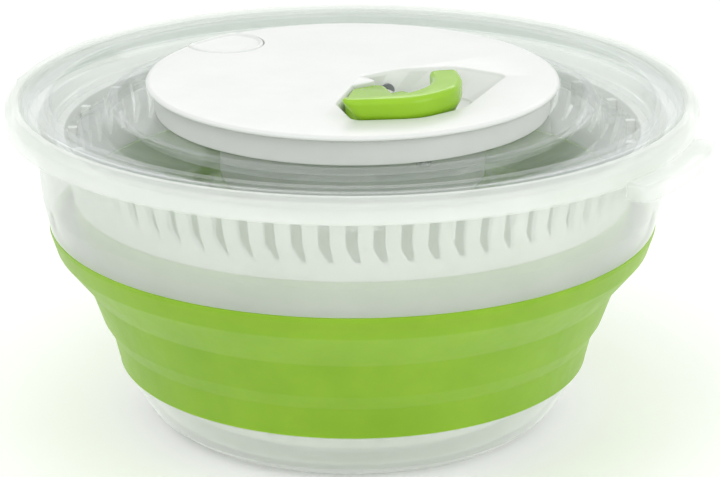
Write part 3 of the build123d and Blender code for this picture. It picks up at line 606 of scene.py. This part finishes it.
def make_basket_collar():
    """Slotted collar: fins between 72 leaning slots, and the drive ribs inside."""
    points = [
        (107.2, 86.5), (108.3, 86.5), (108.3, 91.0), (109.6, 91.0), (114.6, 114.9), (116.2, 115.5),
        (116.2, 116.9), (112.4, 116.9), (107.4, 92.0),
    ]
    collar = turned("basket_fins", rounded(points, [0.2, 0.2, 0, 0.2, 0.4, 0.6, 0.7, 0.7, 0.3]), 288)
    slot = rounded([(-2.2, 113.9), (2.2, 113.9), (2.2, 105.5), (3.4, 98.0), (1.3, 98.0), (-2.2, 104.0)],
                   [0.5, 0.5, 3, 0.4, 0.4, 3], 25.0)

    def cutter():
        return stacked("slot", [[(r, y, z) for y, z in slot] for r in (104.0, 120.0)])
    combined(collar, copies("slots", cutter, SLOTS), "DIFFERENCE")

    def rib():
        plan = rounded([(107.6, -1.5), (111.2, -1.5), (111.2, 1.5), (107.6, 1.5)], [0.5, 0, 0, 0.5], 30.0)
        return bar(plan, 106.5, 116.4)
    ribs = copies("ribs", rib, RIBS, 180.0 / SLOTS)
    combined(collar, ribs, "UNION")
    return finished(collar, "white_basket", "basket_collar", "basket_collar")


# ---- lid ------------------------------------------------------------------------

def make_lid():
    """Clear lid with two fine steps on its rim, six gussets and the screw and stem holes."""
    points = [
        (126.4, 122.1), (128.4, 122.1), (128.4, 130.0), (125.9, 130.2), (125.2, 129.5), (122.6, 129.5),
        (121.9, 130.2), (117.8, 130.2), (117.2, 119.6), (98.4, 119.6), (96.4, 127.0), (95.4, 128.2),
        (92.6, 128.2), (88.2, DECK), (62.3, DECK), (61.5, 121.2), (53.0, 121.2), (53.0, 119.2), (63.5, 119.2),
        (64.5, 121.6), (89.2, 121.6), (93.6, 126.2), (94.4, 126.2), (96.6, 117.6), (119.4, 117.6),
        (119.8, 127.9), (126.4, 127.9),
    ]
    radii = [0.4, 0.6, 1.2, 0.3, 0.3, 0.3, 0.3, 1.2, 1.6, 1.6, 0.8, 1.0, 1.0, 1.6, 0.3, 0.3, 0.3, 0.3, 0.3,
             0.3, 0.4, 0.4, 0.4, 1.4, 1.4, 0.6, 0.6]
    lid = turned("lid_clear", rounded(points, radii, 10.0))

    def gusset():
        side = rounded([(95.8, 126.4), (108.0, 119.2), (96.4, 119.2)], [0, 0.3, 0])
        return stacked("gusset", [[(r, y, z) for r, z in side] for y in (-0.9, 0.9)])
    combined(lid, copies("gussets", gusset, GUSSETS), "UNION")
    turns = [22.5 + 360 / SCREWS * i for i in range(SCREWS)]
    holes = [spun(bar(disc_outline(1.6, SCREW_HOLE_AT, 0, 32), 115, 125), turn) for turn in turns]
    holes.append(bar(disc_outline(STEM_R + 0.05, STEM.x, STEM.y, 48), 115, 125))
    combined(lid, joined("holes", holes), "DIFFERENCE")
    return finished(lid, "clear_plastic", "lid", "lid_shell")


# ---- top cover --------------------------------------------------------------------

def recess_loop(grow, deep):
    """Outline of the handle's recess, at its floor or at the cover's face, evenly spaced."""
    if deep:
        corners = [(-4.6, -38.0), (5.2, -52.6), (24.0, -49.6), (35.0, -39.5), (47.0, -4.0), (36.5, 9.6),
                   (19.2, 7.6), (4.6, -2.6)]
        radii = [6, 5, 14, 14, 5, 7, 16, 2.5]
    else:
        corners = [(-6.0, -38.0), (0.4, -59.8), (25.0, -57.0), (42.0, -43.4), (60.0, 0.6), (40.5, 12.6),
                   (18.6, 9.0), (3.2, -2.0)]
        radii = [8, 4, 20, 22, 4, 12, 24, 2.5]
    loop = evened(rounded(corners, radii, 4.0), 192)
    return inset(loop, -grow) if grow else loop


def make_cover():
    """White disc with a lip below, the recess, the pointed beak over it and the button's opening."""
    points = [
        (0, COVER_LOW), (73.1, COVER_LOW), (73.1, COVER_LOW - 3.4), (74.85, COVER_LOW - 3.4),
        (74.85, COVER_LOW), (COVER_R - 0.5, COVER_LOW), (COVER_R, COVER_LOW + 0.5),
        (COVER_R, COVER_TOP - 0.9), (79.2, COVER_TOP - 0.1), (72.0, COVER_TOP), (0, COVER_TOP),
    ]
    cover = turned("cover_white", rounded(points, [0, 0, 0.3, 0.3, 0, 0.3, 0.3, 0.9, 6.0, 6.0, 0], 12.0))
    wall = 1.5
    floor = stacked("pocket", [at_height(recess_loop(wall, True), RECESS_FLOOR - wall),
                               at_height(recess_loop(wall, False), COVER_TOP - 0.5)])
    combined(cover, floor, "UNION")
    rings = []
    for k in range(6):
        turn = radians(90 * k / 5)
        foot = recess_loop(-1.6 * (1 - sin(turn)), True)
        rings.append(at_height(foot, RECESS_FLOOR + 1.6 * (1 - cos(turn))))
    rings.append(at_height(recess_loop(-0.25, False), COVER_TOP - 1.2))
    for k in range(4):
        turn = radians(90 * k / 3)
        mouth = recess_loop(0.9 * (1 - cos(turn)), False)
        rings.append(at_height(mouth, COVER_TOP - 0.9 + 0.9 * sin(turn)))
    rings.append(at_height(recess_loop(0.9, False), COVER_TOP + 1.0))
    combined(cover, stacked("hollow", rings), "DIFFERENCE")
    corners = [(-3.4, 7.6), (9.6, -7.2), (-1.6, -15.4), (-7.0, 0.0)]
    beak_plan = evened(rounded(corners, [0.5, 2.2, 0.5, 0.5], 12), 96)
    beak = [at_height(inset(beak_plan, 0.4), COVER_LOW - 0.2), at_height(beak_plan, COVER_LOW + 0.2)]
    beak += [at_height(beak_plan, COVER_TOP - 0.7), at_height(inset(beak_plan, 0.2), COVER_TOP - 0.25)]
    beak += [at_height(inset(beak_plan, 0.7), COVER_TOP - 0.01)]
    combined(cover, stacked("beak", beak), "UNION")
    opening = bar(disc_outline(BUTTON_R + 0.35, BUTTON.x, BUTTON.y, 96), COVER_LOW - 6, COVER_TOP + 2)
    combined(cover, opening, "DIFFERENCE")
    bore = bar(disc_outline(2.5, 0, 0, 32), -4.5, 4.5)
    combined(cover, along_pull(bore, EXIT), "DIFFERENCE")
    return finished(cover, "white_abs", "lid", "top_cover")


def make_button():
    """Brake button: cap with a raised ridge round it, a skirt, and a stem to the pad."""
    low = COVER_TOP - 2.0
    limit = COVER_R - 0.2

    def plan(shrink):
        loop = []
        for x, y in disc_outline(BUTTON_R - shrink, BUTTON.x, BUTTON.y, 240):
            reach = hypot(x, y)
            edge = limit - shrink
            loop.append((x * edge / reach, y * edge / reach) if reach > edge else (x, y))
        return evened(loop, 160, 6)
    profile = [
        (0, low), (0, COVER_TOP - 0.5), (0.2, COVER_TOP - 0.1), (0.6, COVER_TOP + 0.25),
        (1.1, COVER_TOP + 0.35), (1.6, COVER_TOP + 0.15), (2.0, COVER_TOP - 0.35), (3.0, COVER_TOP - 0.5),
        (6.5, COVER_TOP - 0.25),
    ]
    cap = stacked("button_cap", [at_height(plan(shrink), z) for shrink, z in profile])
    skirt = stacked("skirt", [at_height(plan(s), z) for s, z in (
        (3.4, low + 0.1), (3.4, low - 3.5), (4.8, low - 3.5), (4.8, low + 0.1))], closed=True)
    stem = bar(disc_outline(STEM_R, STEM.x, STEM.y, 48), STEM_LOW, low + 0.4)
    button = joined("button_white", [cap, skirt, stem])
    return finished(button, "white_abs", "brake_button", "brake_button")


def make_brake_spring():
    spring = coil("brake_coil", 5.9, 0.4, COIL_LOW, COIL_HIGH, 4.0, STEM)
    finished(spring, "spring_steel", "lid", "brake_spring")
    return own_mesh(spring)


# ---- handle and cord ----------------------------------------------------------------

HANDLE_PLANS = {
    # height: outer edge from the tip to the right end, then the inner edge back
    HANDLE_LOW: ([(5.4, -50.0), (6.8, -51.8), (23.6, -48.8), (33.4, -39.6), (38.6, -26.0)],
            [(38.0, -16.8), (30.6, -18.0), (31.4, -28.4), (26.4, -39.2), (17.6, -44.8), (7.0, -46.8)]),
    136.4: ([(0.4, -56.4), (1.8, -58.8), (23.6, -56.0), (38.4, -43.0), (42.0, -28.0)],
            [(40.4, -15.8), (29.2, -18.0), (30.6, -28.2), (27.0, -40.2), (16.6, -49.2), (1.6, -51.8)]),
    HANDLE_TOP: ([(-5.4, -57.8), (-2.4, -60.6), (22.6, -56.6), (37.6, -43.6), (41.8, -28.0)],
            [(40.2, -15.6), (28.8, -18.0), (30.2, -28.0), (27.0, -39.6), (16.6, -49.6), (-4.4, -53.6)]),
}


def handle_loop(height):
    """Outline of the handle's bar between the three plans, softened at its corners."""
    levels = sorted(HANDLE_PLANS)
    low, high = (levels[0], levels[1]) if height < levels[1] else (levels[1], levels[2])
    share = (height - low) / (high - low)
    runs = []
    for near, far in zip(HANDLE_PLANS[low], HANDLE_PLANS[high]):
        runs.append([tuple(Vector(a).lerp(Vector(b), share)) for a, b in zip(near, far)])
    outer, inner = runs
    loop = [outer[0]] + curve_through(outer[1:], 14) + [inner[0]] + curve_through(inner[1:], 14)
    return evened(loop, 200, 14)


def make_handle():
    """Hooked pull with a rounded crown, and its tail that takes the cord."""
    low, top, crown = HANDLE_LOW, HANDLE_TOP, 2.3
    rings = [at_height(inset(handle_loop(low), 0.9), low)]
    rings += [at_height(inset(handle_loop(low + 0.3), 0.25), low + 0.3)]
    heights = [low + 1.0 + (top - crown - low - 1.0) * k / 10 for k in range(11)]
    rings += [at_height(handle_loop(z), z) for z in heights]
    for k in range(1, 8):
        turn = radians(90 * k / 7)
        z = top - crown + crown * sin(turn)
        rings.append(at_height(inset(handle_loop(min(z, top)), crown * (1 - cos(turn))), z))
    handle = stacked("handle_green", rings)
    room = recess_loop(-0.9, True)
    wide = recess_loop(-0.9, False)

    def part(plan, radii, levels):
        loop = evened(rounded(plan, radii, 8.0), 140, 2)
        body = stacked("tail", [at_height(inset(loop, shrink), z) for shrink, z in levels])
        limit = [at_height(room, RECESS_FLOOR), at_height(wide, COVER_TOP)]
        return combined(body, stacked("room", limit), "INTERSECT")
    arm_plan = [
        (2.0, -14.0), (9.0, -11.0), (20.0, -4.0), (24.0, -10.0), (31.5, -24.0), (31.0, -42.0), (10.0, -49.0),
    ]
    arm_levels = [(0.7, 125.9), (0, 126.6), (0, 130.4), (0.5, 131.1), (1.4, 131.4)]
    arm = part(arm_plan, [3, 3, 3, 8, 8, 3, 3], arm_levels)
    lobe_plan = [
        (-0.4, -15.6), (9.4, -9.4), (12.6, -11.4), (15.4, -22.0), (21.0, -42.0), (2.0, -52.0), (-3.0, -32.0),
    ]
    lobe_levels = [(0.5, 125.9), (0, 126.4), (0, 133.9), (0.4, 134.8), (1.3, 135.2)]
    lobe = part(lobe_plan, [1, 1.5, 1.5, 6, 0, 0, 6], lobe_levels)
    combined(arm, lobe, "UNION")
    anchor = EXIT + PULL * LEAD
    clear = bar(disc_outline(9.0, 0, 0, 24), -14.0, 0)
    combined(arm, along_pull(clear, anchor), "DIFFERENCE")
    combined(handle, arm, "UNION")
    bore = bar(disc_outline(1.7, 0, 0, 32), -1.0, 5.0)
    combined(handle, along_pull(bore, anchor), "DIFFERENCE")
    return finished(handle, "green_gloss", "pull_handle", "pull_handle")


def make_lead():
    """The cord between the eyelet and the handle's tail, as a straight tube along the way it is pulled out.
    """
    steps = 96
    route = [EXIT + PULL * (LEAD * k / steps) for k in range(steps + 1)]
    lead = tube("cord_lead", route, CORD_R)
    lead.data.materials.append(FINISHES["cord"])
    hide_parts("pull_cord")
    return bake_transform(lead)


# ---- frame nodes that stay ------------------------------------------------------------

def dress_frame():
    """Every frame node that stays gets the finish of its own slot."""
    for part in frame["record"]["subparts"]:
        node = frame["nodes"][part["node"]]
        node.data.materials.clear()
        node.data.materials.append(FINISHES[part["material_slot"]])


# ---- stage ----------------------------------------------------------------------------

def area_light(name, place, target, size, power):
    data = bpy.data.lights.new(name, "AREA")
    data.shape = "RECTANGLE"
    data.size, data.size_y = size
    data.energy = power
    light = bpy.data.objects.new(name, data)
    light.location = place
    light.rotation_euler = (Vector(target) - Vector(place)).to_track_quat("-Z", "Y").to_euler()
    bpy.context.scene.collection.objects.link(light)


def make_stage():
    half = 6.0
    mesh = bpy.data.meshes.new("floor")
    corners = [(-half, -half, 0), (half, -half, 0), (half, half, 0), (-half, half, 0)]
    mesh.from_pydata(corners, [], [(0, 1, 2, 3)])
    floor = bpy.data.objects.new("floor", mesh)
    bpy.context.scene.collection.objects.link(floor)
    pale = Finish("pale_floor", (0.96, 0.96, 0.96, 1), (0.95, 0.95, 0.95, 1), (0.7, 0.8),
                  Emission_Color=(1, 1, 1, 1), Emission_Strength=0.08).grain(300, 0.02)
    mesh.materials.append(pale.material)
    world = bpy.data.worlds.new("studio")
    world.use_nodes = True
    world.node_tree.nodes["Background"].inputs["Color"].default_value = (1.0, 1.0, 1.0, 1)
    world.node_tree.nodes["Background"].inputs["Strength"].default_value = 0.88
    bpy.context.scene.world = world
    bpy.context.scene.view_settings.view_transform = "Standard"
    bpy.context.scene.cycles.transparent_max_bounces = 32
    centre = (0, 0, 0.08)
    area_light("key", (-0.7, -0.5, 1.5), centre, (1.2, 0.9), 4.5)
    area_light("fill", (1.3, -0.7, 0.6), centre, (0.8, 0.8), 4.0)
    area_light("front", (-0.2, -1.6, 0.5), centre, (1.0, 0.5), 2.5)
    area_light("back", (0.2, 1.3, 0.9), centre, (1.4, 0.4), 3.5)


def make_camera():
    data = bpy.data.cameras.new("camera")
    data.sensor_width = 36.0
    data.lens = 130.0
    data.clip_start = 0.05
    camera = bpy.data.objects.new("camera", data)
    camera.location = (0.0029, -0.975, 0.416)
    camera.rotation_euler = (radians(90 - 19.62), 0, 0)
    bpy.context.scene.collection.objects.link(camera)
    bpy.context.scene.camera = camera


dress_frame()
make_camera()
make_stage()
make_bowl_base()
make_bowl_wall()
make_bowl_collar()
make_basket_wall()
make_basket_collar()
make_lid()
make_cover()
make_button()
make_brake_spring()
make_handle()
make_lead()
